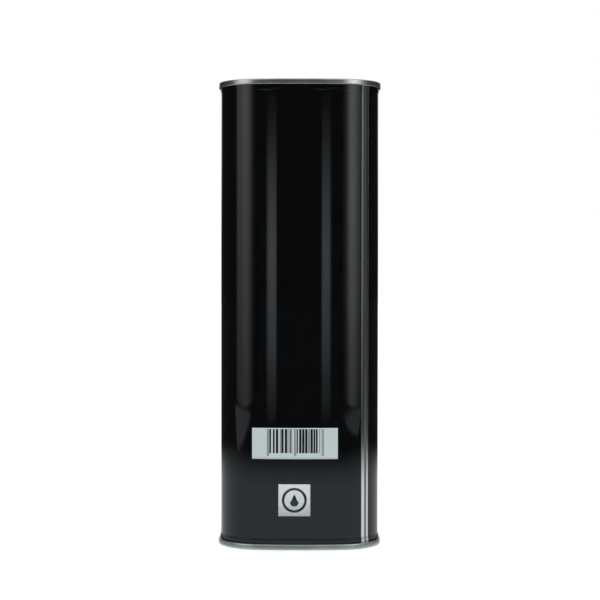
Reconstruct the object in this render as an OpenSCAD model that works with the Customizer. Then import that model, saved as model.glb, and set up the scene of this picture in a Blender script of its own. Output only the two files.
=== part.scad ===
/* [Body] */
// Height of the tin over both rims
can_height = 260; // [200:1:320]
// Width of the body over its two narrow sides
body_w = 88.8; // [80:0.4:110]
// Depth of the body at the middle of its broad faces
body_d = 55; // [52:0.5:70]
// Radius of the four upright corners
corner_r = 24; // [20:0.5:24]
// How far each broad face bows out past its corners
face_bulge = 1.02; // [0.6:0.02:1.4]
// Thickness of the body sheet
body_sheet = 0.24; // [0.2:0.01:0.26]
// How far the wall flares out as it enters a seam
wall_flare = 0.34; // [0.2:0.02:0.5]
// Where the side weld lies, in degrees round the corner from the narrow side
weld_angle = 47; // [20:0.5:60]
// Width of the weld overlap
weld_w = 1.3; // [0.8:0.1:2]

/* [Ends] */
// Thickness of the end sheets
end_sheet = 0.26; // [0.22:0.01:0.28]
// Height of the double seams
seam_height = 3.1; // [2.9:0.1:3.4]
// Width of a double seam outside the flared wall
seam_reach = 0.86; // [0.82:0.02:0.94]
// Drop from the rim to the panels
panel_drop = 4.9; // [4.5:0.1:5.5]
// Depth of the expansion groove round a panel
groove_depth = 0.5; // [0.3:0.05:0.6]
// Height of the step inside the groove of the bottom panel
bottom_step = 0.6; // [0.4:0.1:0.8]

/* [Opening] */
// Place of the opening along the width
spout_x = -18; // [-19:0.5:19]
// Radius of the raised neck, at the middle of its sheet
opening_r = 15.3; // [15:0.1:15.6]
// Height of the boss round the opening
boss_rise = 0.6; // [0.4:0.1:0.8]
// Outer radius of the boss
boss_r = 20.2; // [19.6:0.1:20.2]

/* [Spout] */
// How far the spout pulls out
spout_travel = 22; // [16:1:22]
// Bore radius of the pouring neck
bore_r = 8.8; // [8.4:0.1:8.8]
// Outer radius of the pouring neck
neck_r = 10.2; // [10:0.1:10.4]
// Thickness of the folding diaphragm
fold_sheet = 0.5; // [0.4:0.05:0.6]
// Outer radius of the pull ring inside the neck
pull_r = 4.8; // [4.4:0.1:4.9]

/* [Cap] */
// Outer radius of the cap
cap_r = 12.3; // [12:0.1:12.4]
// Number of grip flutes round the cap
flute_count = 36; // [24:2:48]
// Width of the strap of each lifting bail
bail_w = 3.4; // [3:0.1:3.6]
// Thickness of the lifting bails
bail_t = 1.1; // [0.9:0.05:1.2]

/* [Hidden] */
$fn = 96;

lacquer_black = "#0b0b0c";
tinplate = "#b4b8b8";
compound_grey = "#8f8f86";
natural_plastic = "#e9e6da";
cap_black = "#17181a";
hair = 0.05; // running gap between pieces that seat against each other

// The outline: four corner arcs joined by two wide shallow arcs and two short flats
corner_x = body_w / 2 - corner_r;
corner_y = body_d / 2 - corner_r - face_bulge;
reach_plus = corner_x * corner_x / face_bulge;
reach_m = (reach_plus + face_bulge) / 2;
reach_k = (reach_plus - face_bulge) / 2;
face_r = reach_m + corner_r;
face_y = reach_k - corner_y;
face_angle = asin(corner_x / reach_m);

// The double seam, as offsets outward from the body's outer face and heights below the rim
wall_mid = -body_sheet / 2;
seam_wall = wall_mid + wall_flare;
seam_out = wall_flare + seam_reach - end_sheet / 2;
chuck_wall = seam_wall - body_sheet / 2 - end_sheet / 2 - 0.04;
cover_hook = seam_wall + body_sheet / 2 + end_sheet / 2 + 0.04;
body_hook = seam_out - end_sheet / 2 - body_sheet / 2 - 0.04;
hook_bend = (body_hook - seam_wall) / 2;
tuck_bend = (seam_out - cover_hook) / 2;
hook_top = 0.7;
hook_end = 2.5;
cover_end = 1.1;
flare_start = 6.3;
flare_bend = 1;
panel_overlap = 12;

// Levels of the closure, from the panel up
panel_z = can_height - panel_drop;
boss_z = panel_z + boss_rise;
neck_bend = 0.8;
curl_bend = 0.7;
curl_z = boss_z + 2;
curl_top = curl_z + curl_bend + end_sheet / 2;
flange_top = curl_top + 0.85;
flange_in = opening_r - end_sheet / 2 - 0.87;
flange_out = opening_r + 2 * curl_bend + end_sheet / 2 + 1.07;
fold_top = panel_z + 0.1;
fold_depth = spout_travel / 2 + 0.3; // the fold turns inside out, so it spans the travel twice
fold_foot = fold_top - fold_depth;
fold_r = flange_in - hair - fold_sheet / 2;
fold_foot_r = 13.4;
shoulder_r = 12.4;
shoulder_t = 1;
shoulder_z = fold_foot - shoulder_t / 2;
collar_z = shoulder_z + 2.2;
collar_t = 1.3;

// Levels of the cap, down from its top, which stays just under the rim so that tins stack
cap_top = can_height - 0.2;
plate_top = cap_top - bail_t - hair;
plate_t = 1.1;
plate_under = plate_top - plate_t;
liner_t = 0.6;
lip_z = plate_under - liner_t - 2 * hair;
cap_foot = collar_z + collar_t + 0.35;
cap_wall = 0.8;
cap_rim_w = 1.2;
bail_r = cap_r - cap_rim_w - 0.3;
bar_half = 1.1;
bail_gap = 0.25;
tab_half = 2.2;
membrane_t = 0.5;
membrane_top = fold_foot + 0.2;
pull_t = 1.2;
pull_z = membrane_top + 0.8;
pull_in = pull_r - 1.6;
hinge_gap = 0.5;
bend_step = 18; // degrees between the points of a bend

function flat(lists) = [for (list = lists) for (item = list) item];
function reversed(list) = [for (i = [len(list) - 1:-1:0]) list[i]];
function arc(x, z, r, from, to) =
    let (steps = max(2, round(abs(to - from) / bend_step)))
    [for (i = [0:steps]) let (a = from + (to - from) * i / steps) [x + r * cos(a), z + r * sin(a)]];

// A bend is [centre x, centre z, middle radius, from angle, to angle]; side is 1 on the right
function bend_side(b, t, side) = arc(b[0], b[1], b[2] + side * sign(b[4] - b[3]) * t / 2, b[3], b[4]);
function bend_point(b, a) = [b[0] + b[2] * cos(a), b[1] + b[2] * sin(a)];
function half_step(from, to, t) = let (d = (to - from) / norm(to - from)) [d[1], -d[0]] * t / 2;

// Outline of a bent sheet whose middle line runs from start through the bends to end
function sheet(start, bends, end, t) =
    let (
        last = bends[len(bends) - 1],
        first_side = half_step(start, bend_point(bends[0], bends[0][3]), t),
        last_side = half_step(bend_point(last, last[4]), end, t)
    )
    concat(
        [start - first_side, start + first_side],
        flat([for (b = bends) bend_side(b, t, 1)]),
        [end + last_side, end - last_side],
        reversed(flat([for (b = bends) bend_side(b, t, -1)]))
    );

// Two bends that shift a level run up by h
function rise(x, z, h, r) =
    let (s = sign(h), f = acos(1 - abs(h) / (2 * r)))
    [
        [x, z + s * r, r, -s * 90, -s * (90 - f)],
        [x + 2 * r * sin(f), z + h - s * r, r, s * (90 + f), s * 90]
    ];

// Two bends that shift an upright run outward by w
function flare(x, z, w, r) =
    let (s = sign(w), f = acos(1 - abs(w) / (2 * r)))
    [
        [x + s * r, z, r, 90 + s * 90, 90 + s * 90 - s * f],
        [x + w - s * r, z + 2 * r * sin(f), r, 90 - s * 90 - s * f, 90 - s * 90]
    ];

// Sweeps a profile, drawn as offset outward and height, round the whole tin
module round_the_tin() {
    for (sx = [0, 1], sy = [0, 1])
        mirror([sx, 0, 0]) mirror([0, sy, 0]) corner_sweep() children();
    for (sy = [0, 1]) mirror([0, sy, 0]) face_sweep() children();
    for (sx = [0, 1]) mirror([sx, 0, 0]) side_sweep() children();
}

module corner_sweep() {
    intersection() {
        translate([corner_x, -corner_y, 0])
            rotate_extrude(angle = 100, start = -95) translate([corner_r, 0]) children();
        cutter([
            [corner_x, -corner_y],
            [corner_x, -corner_y] + 0.2 * [corner_x, -reach_k],
            [body_w, -body_w],
            [body_w, -corner_y]
        ]);
    }
}

module face_sweep() {
    from = [0, face_y];
    intersection() {
        translate([0, face_y, 0])
            rotate_extrude(angle = 2 * face_angle + 2, start = -91 - face_angle, $fn = 720)
                translate([face_r, 0]) children();
        cutter([from, from + 1.2 * [corner_x, -reach_k], from + 1.2 * [-corner_x, -reach_k]]);
    }
}

module side_sweep() {
    translate([0, corner_y, 0]) rotate([90, 0, 0]) linear_extrude(2 * corner_y)
        translate([corner_x + corner_r, 0]) children();
}

module cutter(points) {
    translate([0, 0, -10]) linear_extrude(can_height + 20) polygon(points);
}

// The flat middle of a panel, reaching into the swept profile round it
module panel_middle(z) {
    middle_r = corner_r - panel_overlap + 2;
    translate([0, 0, z - end_sheet / 2]) linear_extrude(end_sheet)
        polygon(flat([
            for (q = [[1, 1, 0], [-1, 1, 90], [-1, -1, 180], [1, -1, 270]])
                arc(q[0] * corner_x, q[1] * corner_y, middle_r, q[2], q[2] + 90)
        ]));
}

// Everything round turns about the spout's axis
module at_spout() {
    translate([spout_x, 0, 0]) children();
}

// Lacquered tinplate tube, flanged at both ends into the seams' body hooks
module body_shell() {
    hook_mid = hook_top + body_sheet / 2 + hook_bend;
    flare_run = 2 * flare_bend * sin(acos(1 - wall_flare / (2 * flare_bend)));
    wall = concat(
        [[seam_wall + hook_bend, hook_mid, hook_bend, 0, -180]],
        flare(seam_wall, flare_start - flare_run, -wall_flare, flare_bend),
        flare(wall_mid, can_height - flare_start, wall_flare, flare_bend),
        [[seam_wall + hook_bend, can_height - hook_mid, hook_bend, 180, 0]]
    );
    tips = [[body_hook, hook_end], [body_hook, can_height - hook_end]];
    color(lacquer_black) {
        round_the_tin() polygon(sheet(tips[0], wall, tips[1], body_sheet));
        side_weld();
    }
}

// The two sheet edges overlap and are welded, a low ridge that runs up one corner
module side_weld() {
    ridge = 0.07;
    weld_z = 9;
    turn = weld_w / corner_r * 180 / PI;
    translate([corner_x, -corner_y, 0])
        rotate_extrude(angle = turn, start = -weld_angle - turn / 2)
            translate([corner_r - body_sheet - ridge, weld_z])
                square([body_sheet + 2 * ridge, can_height - 2 * weld_z]);
}

// Seam, countersink and expansion groove shared by both ends, drawn for the top
function end_bends() = concat(
    rise(-4.6, panel_z, -groove_depth, 0.5),
    [
        [chuck_wall - 0.8, panel_z - groove_depth + 0.8, 0.8, -90, 0],
        [chuck_wall + 0.36, can_height - end_sheet / 2 - 0.36, 0.36, 180, 90],
        [seam_out - 0.45, can_height - end_sheet / 2 - 0.45, 0.45, 90, 0],
        [seam_out - tuck_bend, can_height - seam_height + end_sheet / 2 + tuck_bend, tuck_bend, 0, -180]
    ]
);

module end_profile(middle_z = panel_z, step = []) {
    start = [-panel_overlap, middle_z];
    polygon(sheet(start, concat(step, end_bends()), [cover_hook, can_height - cover_end], end_sheet));
}

// Top end: seamed on, with the raised neck and curl that carry the spout
module top_end() {
    boss_start = boss_r + 0.2;
    neck = concat(
        rise(-boss_r, panel_z, boss_rise, 0.6),
        [
            [-opening_r - neck_bend, boss_z + neck_bend, neck_bend, -90, 0],
            [-opening_r - curl_bend, curl_z, curl_bend, 0, 215]
        ]
    );
    tail = bend_point(neck[3], 215) + 0.15 * [cos(305), sin(305)];
    color(tinplate) {
        difference() {
            union() {
                round_the_tin() end_profile();
                panel_middle(panel_z);
            }
            at_spout() translate([0, 0, panel_z - 0.4]) cylinder(r = boss_start, h = 0.8);
        }
        at_spout() rotate_extrude()
            mirror([1, 0]) polygon(sheet([-boss_start, panel_z], neck, tail, end_sheet));
    }
}

// Bottom end: the same seam, with a second step inside the expansion groove
module bottom_end() {
    middle_z = panel_z - bottom_step;
    color(tinplate) translate([0, 0, can_height]) mirror([0, 0, 1]) {
        round_the_tin() end_profile(middle_z, rise(-9.5, middle_z, bottom_step, 0.6));
        panel_middle(middle_z);
    }
}

// Rubbery lining compound that seals a seam, between the body hook and the seam's top
module seam_compound() {
    half = 0.11;
    z = can_height - end_sheet - half - 0.04;
    round_the_tin() polygon(concat(
        arc(seam_out - 0.52, z, half, 90, -90),
        arc(chuck_wall + 0.45, z, half, -90, -270)
    ));
}

module top_seam_compound() {
    color(compound_grey) seam_compound();
}

module bottom_seam_compound() {
    color(compound_grey) translate([0, 0, can_height]) mirror([0, 0, 1]) seam_compound();
}

// Metal ring that clamps the spout's flange round the curl
module crimp_ring() {
    ring_z = flange_top + hair + end_sheet / 2;
    ring_r = flange_out + hair + end_sheet / 2;
    foot = [ring_r - 0.5, curl_z - curl_bend, 0.5, 0, -120];
    bends = [[ring_r - 0.6, ring_z - 0.6, 0.6, 90, 0], foot];
    tail = bend_point(foot, -120) + 0.45 * [cos(150), sin(150)];
    color(tinplate) at_spout() rotate_extrude()
        polygon(sheet([flange_in + 0.5, ring_z], bends, tail, end_sheet));
}

// Fixed moulded flange: an upturned channel over the curl with a skirt down the neck
module spout_flange() {
    skirt_out = opening_r - end_sheet / 2 - hair;
    channel_in = opening_r + 2 * curl_bend + end_sheet / 2 + hair;
    lip_up = 0.35;
    outer_foot = curl_z - curl_bend;
    color(natural_plastic) at_spout() rotate_extrude()
        polygon([
            [flange_in, fold_top - 0.4],
            [skirt_out, fold_top - 0.4],
            [skirt_out, curl_top + hair],
            [channel_in, curl_top + hair],
            [channel_in, outer_foot + 0.06],
            [flange_out, outer_foot + 0.06],
            [flange_out, flange_top - 0.45],
            [flange_out - 0.45, flange_top],
            [flange_in + 0.42, flange_top],
            [flange_in + 0.42, flange_top + lip_up],
            [flange_in, flange_top + lip_up]
        ]);
}

// Thin skirt that rolls inside out as the spout is pulled up
module spout_diaphragm() {
    bend = 0.5;
    color(natural_plastic) at_spout() rotate_extrude()
        polygon(sheet(
            [fold_r, fold_top],
            [[fold_foot_r - bend, fold_foot + bend, bend, 0, -90]],
            [shoulder_r + hair, fold_foot],
            fold_sheet
        ));
}

// Pouring neck: shoulder at the diaphragm, stop collar under the cap, rounded drip lip
module spout_neck() {
    collar_r = neck_r + 0.5;
    lip_r = (neck_r - bore_r) / 2;
    color(natural_plastic) at_spout() rotate_extrude()
        polygon(concat(
            [
                [bore_r, shoulder_z],
                [shoulder_r, shoulder_z],
                [shoulder_r, shoulder_z + shoulder_t],
                [neck_r + 0.4, shoulder_z + shoulder_t],
                [neck_r, shoulder_z + shoulder_t + 0.4],
                [neck_r, collar_z],
                [collar_r, collar_z],
                [collar_r, collar_z + 0.9],
                [neck_r, collar_z + collar_t]
            ],
            arc(neck_r - lip_r, lip_z - lip_r, lip_r, 0, 180)
        ));
}

// Tear-out membrane across the foot of the bore, with the post that holds the pull ring
module seal_membrane() {
    post_x = -pull_r - hinge_gap - bail_gap;
    groove_r = bore_r - 0.7;
    color(natural_plastic) at_spout() {
        difference() {
            translate([0, 0, membrane_top - membrane_t]) cylinder(r = bore_r - hair, h = membrane_t);
            translate([0, 0, membrane_top - membrane_t - 0.1]) difference() {
                cylinder(r = groove_r + 0.15, h = 0.35);
                cylinder(r = groove_r - 0.15, h = 0.35);
            }
        }
        translate([post_x - 1.5, -1.2, membrane_top - membrane_t / 2])
            cube([1.5, 2.4, membrane_t / 2 + pull_z + pull_t - membrane_top]);
    }
}

// Ring that a finger hooks to tear the membrane out; it flips up about its foot
module pull_ring() {
    foot_x = pull_r + hinge_gap - bail_gap / 2;
    color(natural_plastic) at_spout() translate([0, 0, pull_z]) linear_extrude(pull_t)
        difference() {
            union() {
                circle(r = pull_r);
                translate([-foot_x, -1.2]) square([foot_x - pull_in, 2.4]);
            }
            circle(r = pull_in);
        }
}

// Screw cap with a fluted skirt, a rimmed top and the bar between the two bails
module cap() {
    edge = 0.5;
    flute_r = 0.38;
    color(cap_black) at_spout() difference() {
        union() {
            rotate_extrude() polygon(concat(
                [
                    [0, plate_under],
                    [cap_r - cap_wall, plate_under],
                    [cap_r - cap_wall, cap_foot],
                    [cap_r, cap_foot]
                ],
                arc(cap_r - edge, cap_top - edge, edge, 0, 90),
                [
                    [cap_r - cap_rim_w, cap_top],
                    [cap_r - cap_rim_w, plate_top],
                    [0, plate_top]
                ]
            ));
            translate([-cap_r + cap_rim_w / 2, -bar_half, plate_top - plate_t / 2])
                cube([2 * cap_r - cap_rim_w, 2 * bar_half, cap_top - plate_top + plate_t / 2]);
        }
        for (i = [0:flute_count - 1])
            rotate((i + 0.5) * 360 / flute_count) translate([cap_r + 0.12, 0, cap_foot - 1])
                cylinder(r = flute_r, h = plate_top - cap_foot + 0.6, $fn = 24);
        for (side = [-1, 1])
            translate([-tab_half - 0.4, side * cap_r - 1.5, plate_top])
                cube([2 * tab_half + 0.8, 3, 3]);
    }
}

// Sealing disc under the cap's top plate
module cap_liner() {
    color("#f2f2ee") at_spout() translate([0, 0, lip_z + hair])
        cylinder(r = cap_r - cap_wall - 0.2, h = liner_t);
}

// Half-round lifting bail, lying flat in the cap's top with a tab at its tip
module bail() {
    color(cap_black) at_spout() translate([0, 0, plate_top + hair]) linear_extrude(bail_t)
        difference() {
            union() {
                circle(r = bail_r);
                translate([-tab_half, -cap_r + 0.35]) square([2 * tab_half, 2]);
            }
            circle(r = bail_r - bail_w);
            translate([-cap_r, -bar_half - bail_gap]) square(2 * cap_r);
        }
}

module bail_front() {
    bail();
}

module bail_back() {
    mirror([0, 1, 0]) bail();
}

body_shell();
top_end();
bottom_end();
top_seam_compound();
bottom_seam_compound();
crimp_ring();
spout_flange();
spout_diaphragm();
spout_neck();
seal_membrane();
pull_ring();
cap();
cap_liner();
bail_front();
bail_back();
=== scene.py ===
# Looks of a tall black oil tin with a pull-up spout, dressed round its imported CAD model.
import math
import random

import bmesh
import bpy
from mathutils import Matrix, Vector


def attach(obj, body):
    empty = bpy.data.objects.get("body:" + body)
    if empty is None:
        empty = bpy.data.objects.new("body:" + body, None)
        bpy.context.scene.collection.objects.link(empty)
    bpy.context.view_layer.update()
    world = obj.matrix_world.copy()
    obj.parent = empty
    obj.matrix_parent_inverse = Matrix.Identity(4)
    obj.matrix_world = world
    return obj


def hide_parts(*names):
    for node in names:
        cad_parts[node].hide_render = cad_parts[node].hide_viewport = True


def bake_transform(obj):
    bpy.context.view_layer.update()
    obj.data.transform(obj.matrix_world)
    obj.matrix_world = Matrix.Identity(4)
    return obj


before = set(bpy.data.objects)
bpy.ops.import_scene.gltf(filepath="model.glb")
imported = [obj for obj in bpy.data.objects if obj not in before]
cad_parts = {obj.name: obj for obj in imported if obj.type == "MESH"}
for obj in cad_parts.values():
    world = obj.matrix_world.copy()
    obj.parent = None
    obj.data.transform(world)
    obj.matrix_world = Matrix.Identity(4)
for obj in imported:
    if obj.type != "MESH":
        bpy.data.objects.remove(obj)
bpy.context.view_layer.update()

# Sizes in metres, repeated from the CAD source, or rounded from what it works out
MM = 0.001
CAN_HEIGHT = 260 * MM
BODY_W, BODY_D = 88.8 * MM, 55 * MM
CORNER_R, FACE_BULGE = 24 * MM, 1.02 * MM
SEAM_HEIGHT = 3.1 * MM
FLARE_START, FLARE_RUN = 6.3 * MM, 1.12 * MM
WELD_ANGLE = math.radians(47)
SPOUT_X = -18 * MM
FOLD_TOP, FOLD_R = 255.2 * MM, 14 * MM
FOLD_FOOT, FOLD_FOOT_R = 243.9 * MM, 13.4 * MM

# Worked out from them: the body's corner arcs, and the wide shallow arcs of its broad faces,
# of which the front one faces the camera
MID_HEIGHT = CAN_HEIGHT / 2
CORNER_X = BODY_W / 2 - CORNER_R
CORNER_Y = BODY_D / 2 - CORNER_R - FACE_BULGE
FACE_R = (CORNER_X**2 / FACE_BULGE + FACE_BULGE) / 2 + CORNER_R
FACE_Y = (CORNER_X**2 / FACE_BULGE - FACE_BULGE) / 2 - CORNER_Y
FRONT_Y = FACE_Y - FACE_R

# The two printed panels: a square sign, and bars 0.33 mm to a column with quiet columns beside them
SIGN_X, SIGN_Z, SIGN_HALF = -2.8 * MM, 27.6 * MM, 8.82 * MM
BAR_PANEL_LEFT, BAR_PANEL_RIGHT = -26.25 * MM, 21.25 * MM
PANEL_COLUMNS, QUIET_COLUMNS = 144, 25
GUARD_BARS, MIDDLE_GAPS = (0, 2, 46, 48, 92, 94), (45, 47, 49)
CODE_START, CODE_END = 3, 91
INK_T = 0.01 * MM

# The threads, the folding skirt, and the webs across the folds of the bails and the pull ring
THREAD_PITCH = 4.2 * MM
SKIRT_T, WEB_T = 0.25 * MM, 0.24 * MM
BAIL_FOLD_X, BAIL_FOLD_Y, BAIL_FOLD_Z = 9.1 * MM, 1.225 * MM, 259.67 * MM
RING_FOLD_X, RING_FOLD_Z = -23.36 * MM, 245.97 * MM

BLACK, WHITE = (0, 0, 0, 1), (1, 1, 1, 1)
COOL, WARM = (0.88, 1.0, 1.08, 1), (1.0, 0.99, 0.93, 1)


def linear(code):
    """Turns an sRGB hex colour into the linear values that Blender's sockets take."""
    parts = [int(code[i : i + 2], 16) / 255 for i in (1, 3, 5)]
    return [*(c / 12.92 if c <= 0.04045 else ((c + 0.055) / 1.055) ** 2.4 for c in parts), 1]


def add(tree, kind, inputs=None, stops=(), **settings):
    """Adds one node with its settings and links; stops are a ramp's places and colours."""
    node = tree.nodes.new("ShaderNode" + kind)
    for name, value in settings.items():
        setattr(node, name, value)
    for name, value in (inputs or {}).items():
        if isinstance(value, bpy.types.NodeSocket):
            tree.links.new(value, node.inputs[name])
        else:
            node.inputs[name].default_value = value
    if stops:
        marks = node.color_ramp.elements
        while len(marks) < len(stops):
            marks.new(1)
        for mark, (place, colour) in zip(marks, stops):
            mark.position, mark.color = place, colour
    return node


def greys(levels):
    """Ramp stops from (place, level of grey) pairs."""
    return [(place, (level, level, level, 1)) for place, level in levels]


def band(start, end, soft, low, high):
    """Ramp stops, white from start to end with edges this soft, on a ramp that runs from low to high."""
    edges = start - soft / 2, start + soft / 2, end - soft / 2, end + soft / 2
    return [((edge - low) / (high - low), tone) for edge, tone in zip(edges, (BLACK, WHITE, WHITE, BLACK))]


def off_mid_height(tree, place):
    """Distance above or below the tin's mid height, so that both seams are treated alike."""
    high = add(tree, "SeparateXYZ", {0: place}).outputs[2]
    off = add(tree, "Math", {0: high, 1: MID_HEIGHT}, operation="SUBTRACT").outputs[0]
    return add(tree, "Math", {0: off}, operation="ABSOLUTE").outputs[0]


def finish(name, uniform, relief_depth, describe):
    """A material: uniform values go on the shader; describe gives the patterns by socket, and the relief."""
    material = bpy.data.materials.new(name)
    material.use_nodes = True
    tree = material.node_tree
    shader = tree.nodes["Principled BSDF"]
    for socket, value in uniform.items():
        shader.inputs[socket].default_value = value
    patterns = describe(tree, add(tree, "TexCoord").outputs["Object"])
    height = patterns.pop("relief")
    bump = add(tree, "Bump", {"Height": height, "Distance": relief_depth, "Strength": 1.0})
    tree.links.new(bump.outputs[0], shader.inputs["Normal"])
    for socket, value in patterns.items():
        tree.links.new(value, shader.inputs[socket])
    return material


# Finishes


def baked_black_enamel():
    """Black enamel, roller-coated and baked on tinplate: deep black, a wet gloss and a faint orange peel.

    One corner stays bare for the side weld: two pale mirror-like edges with the duller weld line between.
    """
    peel_depth, peel_size = 0.0005 * MM, 1.6 * MM
    cloud_size, beat_length = 9 * MM, 0.8 * MM
    # the wall flares by 0.34 mm into a seam, and this much in the shading evens it out
    eased_depth = 0.374 * MM
    # places in mm round the corner from the weld's angle, in a window this far to each side
    window = 3.6
    stripe = band(-3.06, 1.95, 0.16, -window, window)
    weld_line = band(-0.98, 0.52, 0.2, -window, window)

    def describe(tree, place):
        corner = add(
            tree,
            "Mapping",
            {"Vector": place, "Location": (CORNER_X, -CORNER_Y, 0), "Rotation": (0, 0, -WELD_ANGLE)},
            vector_type="TEXTURE",
        ).outputs[0]
        turn = add(tree, "TexGradient", {"Vector": corner}, gradient_type="RADIAL").outputs["Fac"]
        half = window * MM / CORNER_R / (2 * math.pi)
        across = add(
            tree, "MapRange", {"Value": turn, "From Min": 0.5 - half, "From Max": 0.5 + half}
        ).outputs[0]
        bare = add(tree, "ValToRGB", {"Fac": across}, stripe).outputs[0]
        on_weld = add(tree, "ValToRGB", {"Fac": across}, weld_line).outputs[0]
        # the roller leaves faint clouds in the black
        clouds = add(tree, "TexNoise", {"Vector": place, "Scale": 1 / cloud_size, "Detail": 3}).outputs["Fac"]
        enamel = add(
            tree, "Mix", {0: clouds, 6: linear("#050506"), 7: linear("#090a0b")}, data_type="RGBA"
        ).outputs[2]
        # the weld is squeezed flat and heat-tinted in short beats along the corner
        drawn = add(tree, "Mapping", {"Vector": place, "Scale": (0.3, 0.3, 1)}).outputs[0]
        beats = add(tree, "TexNoise", {"Vector": drawn, "Scale": 1 / beat_length, "Detail": 2}).outputs["Fac"]
        weld = add(
            tree, "Mix", {0: beats, 6: linear("#7d8284"), 7: linear("#a3a7a8")}, data_type="RGBA"
        ).outputs[2]
        metal = add(tree, "Mix", {0: on_weld, 6: linear("#e6e8e8"), 7: weld}, data_type="RGBA").outputs[2]
        # the bends where the wall flares into the seams hardly show on the sheet, so the shading eases them
        flare = {
            "Value": off_mid_height(tree, place),
            "From Min": MID_HEIGHT - FLARE_START,
            "From Max": MID_HEIGHT - FLARE_START + FLARE_RUN,
            "To Max": -eased_depth / peel_depth,
        }
        eased = add(tree, "MapRange", flare, interpolation_type="SMOOTHERSTEP").outputs[0]
        peel = add(tree, "TexNoise", {"Vector": place, "Scale": 1 / peel_size, "Detail": 1}).outputs["Fac"]
        gloss = add(tree, "MapRange", {"Value": clouds, "To Min": 0.02, "To Max": 0.05}).outputs[0]
        metal_gloss = add(tree, "Mix", {0: on_weld, 2: 0.12, 3: 0.36}).outputs[0]
        return {
            "Base Color": add(tree, "Mix", {0: bare, 6: enamel, 7: metal}, data_type="RGBA").outputs[2],
            "Metallic": bare,
            "Roughness": add(tree, "Mix", {0: bare, 2: gloss, 3: metal_gloss}).outputs[0],
            "relief": add(tree, "Math", {0: peel, 1: eased}, operation="ADD").outputs[0],
        }

    return finish("roller_coated_black_enamel", {"IOR": 1.5}, peel_depth, describe)


def bare_tinplate(name, duller, brighter):
    """Rolled tinplate, formed and left bare: soft grey metal with fine rolling lines and duller patches."""
    line_depth, barrel_depth = 0.0012 * MM, 0.18 * MM
    patch_size = 11 * MM
    # real rolling lines are about 0.05 mm apart; drawn this coarse so that they show
    line_spacing = 0.8 * MM

    def describe(tree, place):
        # the sheet was rolled along the broad faces, so its lines are drawn out that way
        drawn = add(tree, "Mapping", {"Vector": place, "Scale": (0.04, 1, 1)}).outputs[0]
        lines = add(
            tree, "TexNoise", {"Vector": drawn, "Scale": 1 / line_spacing, "Detail": 3}
        ).outputs["Fac"]
        patches = add(
            tree, "TexNoise", {"Vector": place, "Scale": 1 / patch_size, "Detail": 3}
        ).outputs["Fac"]
        dulling = {"Value": patches, "From Min": 0.3, "From Max": 0.7, "To Min": 0.26, "To Max": 0.34}
        dull = add(tree, "MapRange", dulling).outputs[0]
        # the seaming roll leaves each seam's outer face barrelled: flat in the middle, falling at its edges
        seam = {
            "Value": off_mid_height(tree, place),
            "From Min": MID_HEIGHT - SEAM_HEIGHT,
            "From Max": MID_HEIGHT,
            "To Min": -1,
            "To Max": 1,
        }
        level = add(tree, "MapRange", seam).outputs[0]
        square = add(tree, "Math", {0: level, 1: level}, operation="MULTIPLY").outputs[0]
        fall = add(tree, "Math", {0: square, 1: square}, operation="MULTIPLY").outputs[0]
        relief = add(
            tree, "Math", {0: fall, 1: -barrel_depth / line_depth, 2: lines}, operation="MULTIPLY_ADD"
        ).outputs[0]
        worn = add(tree, "Mix", {0: 0.5, 2: patches, 3: lines}).outputs[0]
        shade = add(tree, "MapRange", {"Value": worn, "From Min": 0.35, "From Max": 0.65}).outputs[0]
        return {
            "Base Color": add(
                tree, "Mix", {0: shade, 6: linear(duller), 7: linear(brighter)}, data_type="RGBA"
            ).outputs[2],
            "Roughness": add(
                tree, "Math", {0: lines, 1: 0.06, 2: dull}, operation="MULTIPLY_ADD"
            ).outputs[0],
            "relief": relief,
        }

    return finish(name, {"Metallic": 1.0}, line_depth, describe)


def natural_polyethylene():
    """Unpigmented moulded polyethylene: milky, waxy, lets a little light through."""
    flow_size, grain_size = 5 * MM, 0.6 * MM
    grain_depth = 0.004 * MM

    def describe(tree, place):
        # slow flow marks of the mould
        flow = add(tree, "TexNoise", {"Vector": place, "Scale": 1 / flow_size, "Detail": 3}).outputs["Fac"]
        grain = add(tree, "TexNoise", {"Vector": place, "Scale": 1 / grain_size, "Detail": 3}).outputs["Fac"]
        return {
            "Base Color": add(
                tree, "Mix", {0: flow, 6: linear("#dedbce"), 7: linear("#ece9df")}, data_type="RGBA"
            ).outputs[2],
            "Roughness": add(tree, "MapRange", {"Value": flow, "To Min": 0.26, "To Max": 0.48}).outputs[0],
            "relief": grain,
        }

    milky = {"Subsurface Weight": 0.35, "Subsurface Radius": (1.0, 0.9, 0.8), "Subsurface Scale": 1.5 * MM}
    return finish("moulded_natural_polyethylene", {"IOR": 1.51, **milky}, grain_depth, describe)


def black_polypropylene():
    """Moulded black polypropylene: a satin black with the tool's fine spark-eroded grain."""
    shade_size, grain_depth = 6 * MM, 0.004 * MM
    # the real grain is about 0.05 mm; drawn this coarse so that it shows
    grain_size = 0.2 * MM

    def describe(tree, place):
        shade = add(tree, "TexNoise", {"Vector": place, "Scale": 1 / shade_size, "Detail": 3}).outputs["Fac"]
        grain = add(tree, "TexNoise", {"Vector": place, "Scale": 1 / grain_size, "Detail": 2}).outputs["Fac"]
        return {
            "Base Color": add(
                tree, "Mix", {0: shade, 6: linear("#131415"), 7: linear("#1c1d1f")}, data_type="RGBA"
            ).outputs[2],
            "Roughness": add(tree, "MapRange", {"Value": shade, "To Min": 0.27, "To Max": 0.47}).outputs[0],
            "relief": grain,
        }

    return finish("moulded_black_polypropylene", {"IOR": 1.49}, grain_depth, describe)


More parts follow.
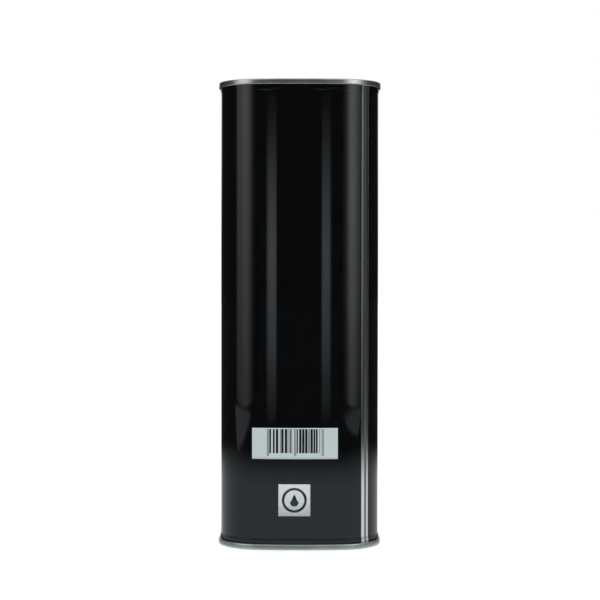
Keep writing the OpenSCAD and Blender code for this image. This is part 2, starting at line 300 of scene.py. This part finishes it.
def foamed_liner():
    """Foamed polyethylene sheet: matt white, with fine closed cells."""
    cell_size, cell_depth = 0.3 * MM, 0.03 * MM

    def describe(tree, place):
        cells = add(tree, "TexVoronoi", {"Vector": place, "Scale": 1 / cell_size}).outputs["Distance"]
        return {
            "Base Color": add(
                tree, "Mix", {0: cells, 6: linear("#f4f4f0"), 7: linear("#dcdcd6")}, data_type="RGBA"
            ).outputs[2],
            "relief": cells,
        }

    return finish("foamed_polyethylene_liner", {"Roughness": 0.75}, cell_depth, describe)


def seam_rubber():
    """Water-based seam lining compound, dried: a matt grey rubber with a slightly lumpy skin."""
    lump_size, lump_depth = 0.5 * MM, 0.02 * MM

    def describe(tree, place):
        lumps = add(tree, "TexNoise", {"Vector": place, "Scale": 1 / lump_size, "Detail": 3}).outputs["Fac"]
        return {
            "Base Color": add(
                tree, "Mix", {0: lumps, 6: linear("#85857c"), 7: linear("#99998f")}, data_type="RGBA"
            ).outputs[2],
            "relief": lumps,
        }

    return finish("dried_seam_compound", {"Roughness": 0.85}, lump_depth, describe)


def printed_ink(name, darker, lighter, mark=None):
    """Offset ink under the sheet's gloss varnish: an even tone with the faint mottle of the roller.

    A mark, if there is one, is printed over it in black.
    """
    mottle_size, ink_depth = 2 * MM, 0.0005 * MM

    def describe(tree, place):
        mottle = add(
            tree, "TexNoise", {"Vector": place, "Scale": 1 / mottle_size, "Detail": 3}
        ).outputs["Fac"]
        colour = add(
            tree, "Mix", {0: mottle, 6: linear(darker), 7: linear(lighter)}, data_type="RGBA"
        ).outputs[2]
        if mark:
            printed = mark(tree, place)
            colour = add(
                tree, "Mix", {0: printed, 6: colour, 7: linear("#202325")}, data_type="RGBA"
            ).outputs[2]
        return {
            "Base Color": colour,
            "Roughness": add(tree, "MapRange", {"Value": mottle, "To Min": 0.1, "To Max": 0.2}).outputs[0],
            "relief": mottle,
        }

    return finish(name, {"IOR": 1.5}, ink_depth, describe)


def drop_in_ring(tree, place):
    """Mask of a plain sign, drawn in mm from its centre: a ring with an oil drop in it, with soft edges."""
    ring_in, ring_out, ramp_end = 5.5, 6.9, 10
    drop_r, drop_low = 2.4, 1.1
    soft = 0.16
    # divides the panel's depth away
    no_depth = 1000
    centred = add(
        tree,
        "Mapping",
        {"Vector": place, "Location": (SIGN_X, 0, SIGN_Z), "Scale": (MM, no_depth, MM)},
        vector_type="TEXTURE",
    ).outputs[0]
    away = add(tree, "VectorMath", {0: centred}, operation="LENGTH").outputs["Value"]
    along = add(tree, "Math", {0: away, 1: 1 / ramp_end}, operation="MULTIPLY").outputs[0]
    ring = add(tree, "ValToRGB", {"Fac": along}, band(ring_in, ring_out, soft, 0, ramp_end)).outputs[0]
    axes = add(tree, "SeparateXYZ", {0: centred}).outputs
    # the drop is a disc set a little low: above its centre it narrows to a point, and below it stays round
    above = add(tree, "Math", {0: axes[2], 1: drop_low}, operation="ADD").outputs[0]
    narrowing = {"Value": above, "From Max": 5.0, "To Min": 1.0, "To Max": 3.2}
    squeeze = add(tree, "MapRange", narrowing).outputs[0]
    lengthening = {"Value": above, "From Max": 1.2, "To Min": 1.0, "To Max": 0.58}
    stretch = add(tree, "MapRange", lengthening).outputs[0]
    wide = add(tree, "Math", {0: axes[0], 1: squeeze}, operation="MULTIPLY").outputs[0]
    tall = add(tree, "Math", {0: above, 1: stretch}, operation="MULTIPLY").outputs[0]
    shape = add(tree, "CombineXYZ", {0: wide, 2: tall}).outputs[0]
    size = add(tree, "VectorMath", {0: shape}, operation="LENGTH").outputs["Value"]
    inside, outside = drop_r - soft / 2, drop_r + soft / 2
    edge = {"Value": size, "From Min": inside, "From Max": outside, "To Min": 1, "To Max": 0}
    drop = add(tree, "MapRange", edge).outputs[0]
    return add(tree, "Math", {0: ring, 1: drop}, operation="MAXIMUM").outputs[0]


# Pieces


def made(name, mesh, materials, smooth_under=35):
    """Turns a bmesh into a piece with these materials, its sharp edges left sharp."""
    data = bpy.data.meshes.new(name)
    mesh.to_mesh(data)
    mesh.free()
    for material in materials:
        data.materials.append(material)
    data.set_sharp_from_angle(angle=math.radians(smooth_under))
    for face in data.polygons:
        face.use_smooth = True
    piece = bpy.data.objects.new(name, data)
    bpy.context.scene.collection.objects.link(piece)
    return piece


def tidy(mesh):
    """Merges doubles, then points every face outwards."""
    bmesh.ops.remove_doubles(mesh, verts=mesh.verts, dist=0.001 * MM)
    bmesh.ops.recalc_face_normals(mesh, faces=mesh.faces)


def ink_film(name, left, right, levels, columns, materials, choose):
    """A thin ink film on the front face, spun round the face's own curve in narrow columns.

    left and right are lengths along the curve; choose gives the material for a column and a height.
    """
    mesh = bmesh.new()
    clearance = 0.02 * MM
    arm = Vector((0, -FACE_R - clearance, 0))
    first = Matrix.Rotation(left / FACE_R, 3, "Z") @ arm
    line = [mesh.verts.new((first.x, FACE_Y + first.y, z)) for z in levels]
    edges = [mesh.edges.new(pair) for pair in zip(line, line[1:])]
    bmesh.ops.spin(
        mesh,
        geom=line + edges,
        cent=(0, FACE_Y, 0),
        axis=(0, 0, 1),
        angle=(right - left) / FACE_R,
        steps=columns,
    )
    for face in mesh.faces:
        middle = face.calc_center_median()
        along = FACE_R * math.atan2(middle.x, FACE_Y - middle.y)
        face.material_index = choose(int((along - left) / (right - left) * columns), middle.z)
    bmesh.ops.recalc_face_normals(mesh, faces=mesh.faces)
    if sum(face.normal.y for face in mesh.faces) > 0:
        bmesh.ops.reverse_faces(mesh, faces=mesh.faces)
    piece = made(name, mesh, materials)
    film = piece.modifiers.new("film", "SOLIDIFY")
    film.thickness, film.offset = INK_T, -1
    return piece


def made_up_bars():
    """The dark columns: random bars and gaps between plain guard bars, which stand for no number."""
    draw = random.Random(11)
    dark = set(GUARD_BARS)
    at = CODE_START
    while at < CODE_END:
        wide = draw.choice((1, 1, 2, 3, 4))
        bar = range(at + 1, at + 1 + wide)
        dark.update(column for column in bar if column < CODE_END and column not in MIDDLE_GAPS)
        at += wide + draw.choice((1, 1, 1, 2, 3))
    return dark


def bar_panel(white, black):
    """White ink panel with a made-up bar pattern, whose guard bars reach lower than the others."""
    levels = [z * MM for z in (50.35, 52.05, 53.65, 66.95, 67.55)]
    guard_foot, bar_foot, bar_top = levels[1:4]
    bars = made_up_bars()

    def choose(column, z):
        bar = column - QUIET_COLUMNS
        foot = guard_foot if bar in GUARD_BARS else bar_foot
        return 1 if bar in bars and foot < z < bar_top else 0

    sides = BAR_PANEL_LEFT, BAR_PANEL_RIGHT
    return ink_film("bar_panel_print", *sides, levels, PANEL_COLUMNS, [white, black], choose)


def sign_panel(ink):
    """White square that carries the drop sign."""
    columns = 24
    sides = SIGN_X - SIGN_HALF, SIGN_X + SIGN_HALF
    levels = [SIGN_Z - SIGN_HALF, SIGN_Z + SIGN_HALF]
    return ink_film("sign_panel_print", *sides, levels, columns, [ink], lambda column, z: 0)


def screw_thread(name, root, crest, start_z, turns, material):
    """A trapezoid thread wound round the spout's axis that fades in and out at its ends."""
    mesh = bmesh.new()
    steps = 60
    total = round(steps * turns)
    root_half, crest_half = 0.8 * MM, 0.3 * MM
    profile = [(root, -root_half), (crest, -crest_half), (crest, crest_half), (root, root_half)]
    corners = [mesh.verts.new((SPOUT_X + r, 0, start_z + z)) for r, z in profile]
    tooth = mesh.faces.new(corners)
    whole_turn = 2 * math.pi
    length = whole_turn * total / steps
    bmesh.ops.spin(
        mesh,
        geom=[tooth, *tooth.edges, *corners],
        cent=(SPOUT_X, 0, 0),
        axis=(0, 0, 1),
        dvec=(0, 0, THREAD_PITCH / steps),
        angle=length,
        steps=total,
    )
    fade = math.radians(40)
    for vert in mesh.verts:
        arm = Vector((vert.co.x - SPOUT_X, vert.co.y))
        turn = math.atan2(arm.y, arm.x) % whole_turn
        winds = round((vert.co.z - start_z) / THREAD_PITCH - turn / whole_turn)
        along = turn + whole_turn * winds
        from_end = min(along, length - along)
        depth = max(0.0, min(1.0, from_end / fade)) ** 0.5
        arm *= (root + (arm.length - root) * depth) / arm.length
        vert.co.x, vert.co.y = SPOUT_X + arm.x, arm.y
    tidy(mesh)
    return made(name, mesh, [material], smooth_under=50)


def folding_skirt(material):
    """The thin skirt that rolls inside out as the spout is pulled, with its wall as one closed shell."""
    mesh = bmesh.new()
    rows, bend_r, seat = 9, 0.5 * MM, 0.45 * MM
    narrowing, drop = FOLD_R - FOLD_FOOT_R, FOLD_TOP - FOLD_FOOT - bend_r
    side = [(FOLD_R - narrowing * (i / rows) ** 1.5, FOLD_TOP - drop * i / rows) for i in range(rows + 1)]
    bend_x, bend_z = FOLD_FOOT_R - bend_r, FOLD_FOOT + bend_r
    turns = [math.radians(angle) for angle in (-15, -35, -55, -75, -90)]
    bend = [(bend_x + bend_r * math.cos(turn), bend_z + bend_r * math.sin(turn)) for turn in turns]
    outline = side + bend + [(bend_x - seat, FOLD_FOOT)]
    line = [mesh.verts.new((SPOUT_X + r, 0, z)) for r, z in outline]
    edges = [mesh.edges.new(pair) for pair in zip(line, line[1:])]
    bmesh.ops.spin(
        mesh,
        geom=line + edges,
        cent=(SPOUT_X, 0, 0),
        axis=(0, 0, 1),
        angle=2 * math.pi,
        steps=96,
        use_merge=True,
    )
    tidy(mesh)
    bmesh.ops.solidify(mesh, geom=mesh.faces[:], thickness=SKIRT_T)
    tidy(mesh)
    return made("folding_skirt", mesh, [material])


def film_hinge(name, centres, wide, long, turn, material):
    """Thin moulded webs across a fold line, cut into strips along their length so that they can bend."""
    mesh = bmesh.new()
    for centre in centres:
        shape = bmesh.ops.create_cube(mesh, size=1)["verts"]
        bmesh.ops.scale(mesh, verts=shape, vec=(wide, long, WEB_T))
        bmesh.ops.rotate(mesh, verts=shape, cent=(0, 0, 0), matrix=Matrix.Rotation(turn, 3, "Z"))
        bmesh.ops.translate(mesh, verts=shape, vec=centre)
    lengthwise = [edge for edge in mesh.edges if abs(edge.calc_length() - long) < 0.0001 * MM]
    bmesh.ops.subdivide_edges(mesh, edges=lengthwise, cuts=7, use_grid_fill=True)
    tidy(mesh)
    return made(name, mesh, [material], smooth_under=60)


# Stage


def stage_sheet(name, size, finish_name):
    """A level sheet round the origin for the stage, and the empty node tree of its material."""
    mesh = bmesh.new()
    bmesh.ops.create_grid(mesh, x_segments=1, y_segments=1, size=0.5)
    bmesh.ops.scale(mesh, verts=mesh.verts, vec=(*size, 1))
    material = bpy.data.materials.new(finish_name)
    material.use_nodes = True
    material.node_tree.nodes.clear()
    return made(name, mesh, [material]), material.node_tree


def ray_masks(tree):
    """Masks of the camera's own rays, and of the rays that a mirror or a clear piece sends on."""
    path = add(tree, "LightPath").outputs
    sent_on = add(
        tree, "Math", {0: path["Is Glossy Ray"], 1: path["Is Transmission Ray"]}, operation="MAXIMUM"
    )
    return path["Is Camera Ray"], sent_on.outputs[0]


def soft_light(name, place, aim, size, radiance, across, upward, tint):
    """A glowing panel that faces aim, unseen by the camera; across and upward are its levels each way."""
    panel, tree = stage_sheet(name, size, name)
    panel.location = place
    panel.rotation_mode = "QUATERNION"
    panel.rotation_quaternion = (Vector(aim) - Vector(place)).to_track_quat("Z", "Y")
    panel.visible_camera = panel.visible_shadow = panel.visible_diffuse = False
    centred = add(tree, "TexCoord").outputs["Object"]
    to_unit = (1 / size[0], 1 / size[1], 1)
    unit = add(
        tree, "Mapping", {"Vector": centred, "Location": (0.5, 0.5, 0), "Scale": to_unit}
    ).outputs[0]
    axes = add(tree, "SeparateXYZ", {0: unit}).outputs
    power = radiance
    for axis, levels in zip(axes, (across, upward)):
        curve = add(tree, "ValToRGB", {"Fac": axis}, greys(levels)).outputs[0]
        power = add(tree, "Math", {0: power, 1: curve}, operation="MULTIPLY").outputs[0]
    back = add(tree, "NewGeometry").outputs["Backfacing"]
    front = add(tree, "Math", {0: 1.0, 1: back}, operation="SUBTRACT").outputs[0]
    power = add(tree, "Math", {0: power, 1: front}, operation="MULTIPLY").outputs[0]
    glow = add(tree, "Emission", {"Color": tint, "Strength": power}).outputs[0]
    add(tree, "OutputMaterial", {"Surface": glow})


def studio_floor():
    """Pale floor: white to the camera but for the tin's shadow, and an oval white table in reflections, with
    painted shade and painted light on it.
    """
    floor, tree = stage_sheet("floor", (12, 12), "matt_white_floor")
    place = add(tree, "TexCoord").outputs["Object"]
    soft = {"interpolation_type": "SMOOTHSTEP"}

    # in reflections, the table's light falls off between these two distances from the tin
    table_edge, table_end, oval_stretch = 0.25, 0.51, 0.87
    oval = add(tree, "Mapping", {"Vector": place, "Scale": (oval_stretch, 1, 1)}).outputs[0]
    away = add(tree, "VectorMath", {0: oval}, operation="LENGTH").outputs["Value"]
    fall = {"Value": away, "From Min": table_edge, "From Max": table_end, "To Min": 0.7, "To Max": 0.03}
    table = add(tree, "MapRange", fall, **soft).outputs[0]

    # painted shade: the table's glow in reflections is darkened round the tin's foot, but for a thin painted
    # lit line under the bottom seam;
    # a small flat core with a round edge of 25.2 mm has the outline of the bottom rim
    core, foot_edge, shade_width = (CORNER_X, 3.5 * MM, 0), 25.2 * MM, 30 * MM
    inner = add(tree, "VectorMath", {0: place}, operation="ABSOLUTE").outputs[0]
    outer = add(tree, "VectorMath", {0: inner, 1: core}, operation="SUBTRACT").outputs[0]
    beyond = add(tree, "VectorMath", {0: outer, 1: (0, 0, 0)}, operation="MAXIMUM").outputs[0]
    off_foot = add(tree, "VectorMath", {0: beyond}, operation="LENGTH").outputs["Value"]
    round_foot = {"Value": off_foot, "From Min": foot_edge, "From Max": foot_edge + shade_width}
    along = add(tree, "MapRange", round_foot).outputs[0]
    levels = [(0, 1), (0.11, 1), (0.18, 0.1), (0.45, 0.15), (0.72, 1)]
    painted_foot_shade = add(tree, "ValToRGB", {"Fac": along}, greys(levels)).outputs[0]
    level = add(tree, "Math", {0: table, 1: painted_foot_shade}, operation="MULTIPLY").outputs[0]

    def past(direction, start, full):
        """Mask that rises from start to full along a direction over the floor."""
        along = add(tree, "VectorMath", {0: place, 1: direction}, operation="DOT_PRODUCT").outputs["Value"]
        rise = {"Value": along, "From Min": start, "From Max": full}
        return add(tree, "MapRange", rise, **soft).outputs[0]

    # painted light: a pool of spill is painted into the table's glow below both boxes, and not beyond them
    camera_side, far_side = (0, -1, 0), (0, 1, 0)
    spill_limit = {"Value": away, "From Min": 0.8, "From Max": 0.87, "To Min": 1, "To Max": 0}
    inside = add(tree, "MapRange", spill_limit).outputs[0]
    for strength, outward, start, full, near in (
        (0.55, (-1, 0, 0), 0.43, 0.53, 0.12),
        (0.45, (1, -0.6, 0), 0.7, 0.785, 0.26),
    ):
        beside = past(outward, start, full)
        in_front = past(camera_side, near, near + 0.07)
        short_of_camera = past(far_side, -0.85, -0.6)
        spill = strength
        for edge in (beside, in_front, short_of_camera, inside):
            spill = add(tree, "Math", {0: edge, 1: spill}, operation="MULTIPLY").outputs[0]
        level = add(tree, "Math", {0: level, 1: spill}, operation="MAXIMUM").outputs[0]

    # the painted shade mirrors warm and the open table cool, but both are white right of the tin and behind
    # it
    warmed = add(tree, "Mix", {0: painted_foot_shade, 6: WARM, 7: COOL}, data_type="RGBA").outputs[2]
    plain_side = past((1, 2.9, 0), 0, 0.06)
    tint = add(tree, "Mix", {0: plain_side, 6: warmed, 7: WHITE}, data_type="RGBA").outputs[2]
    mirrored = add(tree, "Emission", {"Color": tint, "Strength": level}).outputs[0]
    card = add(tree, "BsdfDiffuse", {"Color": (0.8, 0.8, 0.8, 1)}).outputs[0]
    # the lift brings the card up to white for the camera
    lift = add(tree, "Emission", {"Strength": 0.4}).outputs[0]
    lifted = add(tree, "AddShader", {0: card, 1: lift}).outputs[0]
    camera_rays, mirror_rays = ray_masks(tree)
    unseen = add(tree, "MixShader", {0: mirror_rays, 1: card, 2: mirrored}).outputs[0]
    surface = add(tree, "MixShader", {0: camera_rays, 1: unseen, 2: lifted}).outputs[0]
    add(tree, "OutputMaterial", {"Surface": surface})


def studio_room():
    """White background for the camera; reflections also show it behind the tin, under a pale ceiling."""
    world = bpy.data.worlds.new("studio")
    bpy.context.scene.world = world
    world.use_nodes = True
    tree = world.node_tree
    tree.nodes.clear()
    axes = add(tree, "SeparateXYZ", {0: add(tree, "TexCoord").outputs["Generated"]}).outputs
    soft = {"interpolation_type": "SMOOTHSTEP"}
    # the limits are parts of a unit vector: how far up a ray points, or how straight behind the tin
    overhead = {"Value": axes[2], "From Min": 0.45, "From Max": 0.8, "To Min": 0.02, "To Max": 0.85}
    ceiling = add(tree, "MapRange", overhead, **soft).outputs[0]
    behind = add(tree, "MapRange", {"Value": axes[1], "From Min": 0.88, "From Max": 0.95}, **soft).outputs[0]
    raised = add(tree, "MapRange", {"Value": axes[2], "From Max": 0.13, "To Max": 0.9}, **soft).outputs[0]
    backdrop = add(tree, "Math", {0: behind, 1: raised}, operation="MULTIPLY").outputs[0]
    mirrored = add(tree, "Math", {0: ceiling, 1: backdrop}, operation="MAXIMUM").outputs[0]
    camera_rays, mirror_rays = ray_masks(tree)
    other = add(tree, "Mix", {0: mirror_rays, 2: 1.0, 3: mirrored}).outputs[0]
    strength = add(tree, "Mix", {0: camera_rays, 2: other, 3: 1.0}).outputs[0]
    back = add(tree, "Background", {"Color": WHITE, "Strength": strength}).outputs[0]
    add(tree, "OutputWorld", {"Surface": back})


def overhead_light():
    """A wide soft lamp above the tin, a little on the camera's side and tipped that way."""
    radiance = 0.8
    lamp = bpy.data.lights.new("overhead", "AREA")
    lamp.shape, lamp.size, lamp.size_y = "RECTANGLE", 0.9, 0.7
    lamp.energy = radiance * math.pi * lamp.size * lamp.size_y
    holder = bpy.data.objects.new("overhead", lamp)
    holder.location = (0, -0.25, 1.25)
    holder.rotation_euler = (math.radians(-10), 0, 0)
    bpy.context.scene.collection.objects.link(holder)


def photo_camera():
    """The photograph's view, from a fit to the outline: a little above mid height, tipped down slightly."""
    away, aside, eye_height = 860 * MM, 0.2 * MM, 155 * MM
    tip, roll = 0.0195, 0.0012
    camera = bpy.data.cameras.new("camera")
    camera.sensor_width, camera.lens = 36, 93.7
    camera.clip_start, camera.clip_end = 0.05, 50
    holder = bpy.data.objects.new("camera", camera)
    turn = Matrix.Rotation(math.pi / 2 - tip, 4, "X") @ Matrix.Rotation(roll, 4, "Z")
    holder.matrix_world = Matrix.Translation((aside, FRONT_Y - away, eye_height)) @ turn
    bpy.context.scene.collection.objects.link(holder)
    bpy.context.scene.camera = holder


def side_boxes():
    """The two large soft boxes whose reflections fill the tin's corners."""
    box_x, box_y, box_z = 0.72, -0.60, 0.45
    left_across = [
        (0, 0), (0.075, 0.04), (0.184, 0.16), (0.251, 0.45), (0.33, 0.7), (0.437, 1),
        (0.512, 1), (0.617, 0.83), (0.709, 0.66), (0.822, 0.66), (0.91, 0.2), (1, 0),
    ]
    left_upward = [(0, 0.42), (0.13, 0.66), (0.26, 0.85), (0.38, 1), (0.9, 1.3), (1, 0)]
    right_across = [
        (0, 0), (0.12, 0.1), (0.22, 0.24), (0.41, 0.66), (0.5, 0.89),
        (0.59, 1), (0.67, 0.94), (0.76, 0.56), (0.85, 0.2), (1, 0),
    ]
    right_upward = [
        (0, 0.4), (0.07, 0.53), (0.13, 0.75), (0.2, 0.87),
        (0.26, 0.97), (0.38, 1), (0.9, 1.2), (1, 0),
    ]
    for name, side, radiance, across, upward, tint in (
        ("left_box", -1, 1.33, left_across, left_upward, WHITE),
        ("right_box", 1, 1.78, right_across, right_upward, (0.97, 1.0, 1.03, 1)),
    ):
        place, aim = (side * box_x, box_y, box_z), (0, 0, box_z)
        soft_light(name, place, aim, (1.1, 0.9), radiance, across, upward, tint)


def front_strips():
    """The two narrow lit strips beside the camera that draw the soft upright bands on the broad face."""
    across = [(0, 0), (0.1, 0.85), (0.2, 1), (0.8, 1), (0.9, 0.85), (1, 0)]
    upward = [
        (0.01, 0), (0.1, 0.26), (0.16, 0.37), (0.25, 0.66), (0.37, 0.84), (0.52, 1),
        (0.68, 0.74), (0.78, 0.46), (0.86, 0.23), (0.93, 0.1), (1, 0),
    ]
    strip_y, strip_z = FRONT_Y - 0.600, 0.165
    for side, x, radiance in (("left", -0.1059, 1.15), ("right", 0.1011, 1.0)):
        place, aim = (x, strip_y, strip_z), (x, 0, strip_z)
        soft_light(f"front_strip_{side}", place, aim, (0.0355, 0.33), radiance, across, upward, COOL)


bpy.context.scene.view_settings.view_transform = "Standard"
photo_camera()
studio_room()
studio_floor()
overhead_light()
side_boxes()
front_strips()

tin_black = baked_black_enamel()
seamed_tinplate = bare_tinplate("seamed_bare_tinplate", "#b6b8b5", "#d0d2cf")
natural = natural_polyethylene()
cap_black = black_polypropylene()
compound = seam_rubber()
finishes = {
    "body_shell": tin_black,
    "top_end": seamed_tinplate,
    "bottom_end": seamed_tinplate,
    "top_seam_compound": compound,
    "bottom_seam_compound": compound,
    "crimp_ring": bare_tinplate("crimped_bare_tinplate", "#b4b9b9", "#c8cccc"),
    "spout_flange": natural,
    "spout_diaphragm": natural,
    "spout_neck": natural,
    "seal_membrane": natural,
    "pull_ring": natural,
    "cap": cap_black,
    "cap_liner": foamed_liner(),
    "bail_front": cap_black,
    "bail_back": cap_black,
}
for node_name, material in finishes.items():
    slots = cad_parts[node_name].data.materials
    slots.clear()
    slots.append(material)

white_ink = printed_ink("white_offset_ink", "#becbcb", "#c6d3d3")
black_ink = printed_ink("black_offset_ink", "#131415", "#1b1d1e")
sign_ink = printed_ink("white_ink_with_drop_sign", "#cad2d3", "#d1d9da", drop_in_ring)
for film in (bar_panel(white_ink, black_ink), sign_panel(sign_ink)):
    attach(film, "tin")

neck_thread = screw_thread(
    "neck_thread", root=10.15 * MM, crest=10.95 * MM, start_z=249.0 * MM, turns=1.5, material=natural
)
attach(neck_thread, "spout")
# the cap's thread lies half a pitch above the neck's
cap_thread = screw_thread(
    "cap_thread", root=11.55 * MM, crest=10.7 * MM, start_z=251.1 * MM, turns=1.1, material=cap_black
)
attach(cap_thread, "cap")

skirt = folding_skirt(natural)
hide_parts("spout_diaphragm")
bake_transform(skirt)

for side, bail in ((-1, "bail_front"), (1, "bail_back")):
    centres = [(SPOUT_X + x, side * BAIL_FOLD_Y, BAIL_FOLD_Z) for x in (-BAIL_FOLD_X, BAIL_FOLD_X)]
    web = film_hinge(bail + "_web", centres, 3.0 * MM, 0.75 * MM, 0, cap_black)
    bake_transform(web)
ring_fold = (RING_FOLD_X, 0, RING_FOLD_Z)
ring_web = film_hinge("pull_ring_web", [ring_fold], 2.0 * MM, 0.9 * MM, math.pi / 2, natural)
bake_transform(ring_web)
